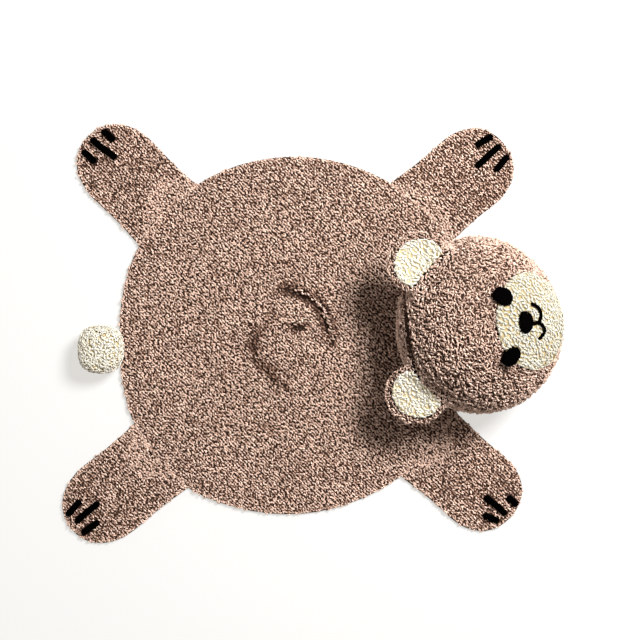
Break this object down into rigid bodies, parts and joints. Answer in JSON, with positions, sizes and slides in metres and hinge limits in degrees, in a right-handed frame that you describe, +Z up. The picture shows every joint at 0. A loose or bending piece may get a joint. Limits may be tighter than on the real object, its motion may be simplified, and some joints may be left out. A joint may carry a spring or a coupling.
{
  "type": "bear rug",
  "caption": "Crocheted boucle play rug shaped like a bear: a flat round body with flat paws, a stuffed head with ears and a stitched face, and a knob of a tail.",
  "frame": {"origin": "on the floor, under the middle of the round body", "axes": "+X from the tail to the snout, +Y towards the bear's left side, +Z up from the floor"},
  "size_m": [1.0931, 0.9403, 0.2743],
  "materials": {
    "brown_boucle": "curly boucle yarn, crocheted in rounds, matt with a soft sheen",
    "cream_boucle": "curly boucle yarn, matt with a soft sheen",
    "black_yarn": "smooth stitched yarn, matt"
  },
  "bodies": {
    "root": {"body": "brown_boucle", "leg_front_left": "brown_boucle", "leg_front_right": "brown_boucle", "leg_hind_left": "brown_boucle", "leg_hind_right": "brown_boucle", "claw_front_left_1": "black_yarn", "claw_front_left_2": "black_yarn", "claw_front_left_3": "black_yarn", "claw_front_right_1": "black_yarn", "claw_front_right_2": "black_yarn", "claw_front_right_3": "black_yarn", "claw_hind_left_1": "black_yarn", "claw_hind_left_2": "black_yarn", "claw_hind_left_3": "black_yarn", "claw_hind_right_1": "black_yarn", "claw_hind_right_2": "black_yarn", "claw_hind_right_3": "black_yarn", "tail": "cream_boucle", "head": "brown_boucle", "muzzle": "cream_boucle", "eye_left": "black_yarn", "eye_right": "black_yarn", "nose": "black_yarn", "mouth": "black_yarn", "ear_left": "brown_boucle", "ear_inner_left": "cream_boucle", "ear_right": "brown_boucle", "ear_inner_right": "cream_boucle"}
  },
  "joints": []
}
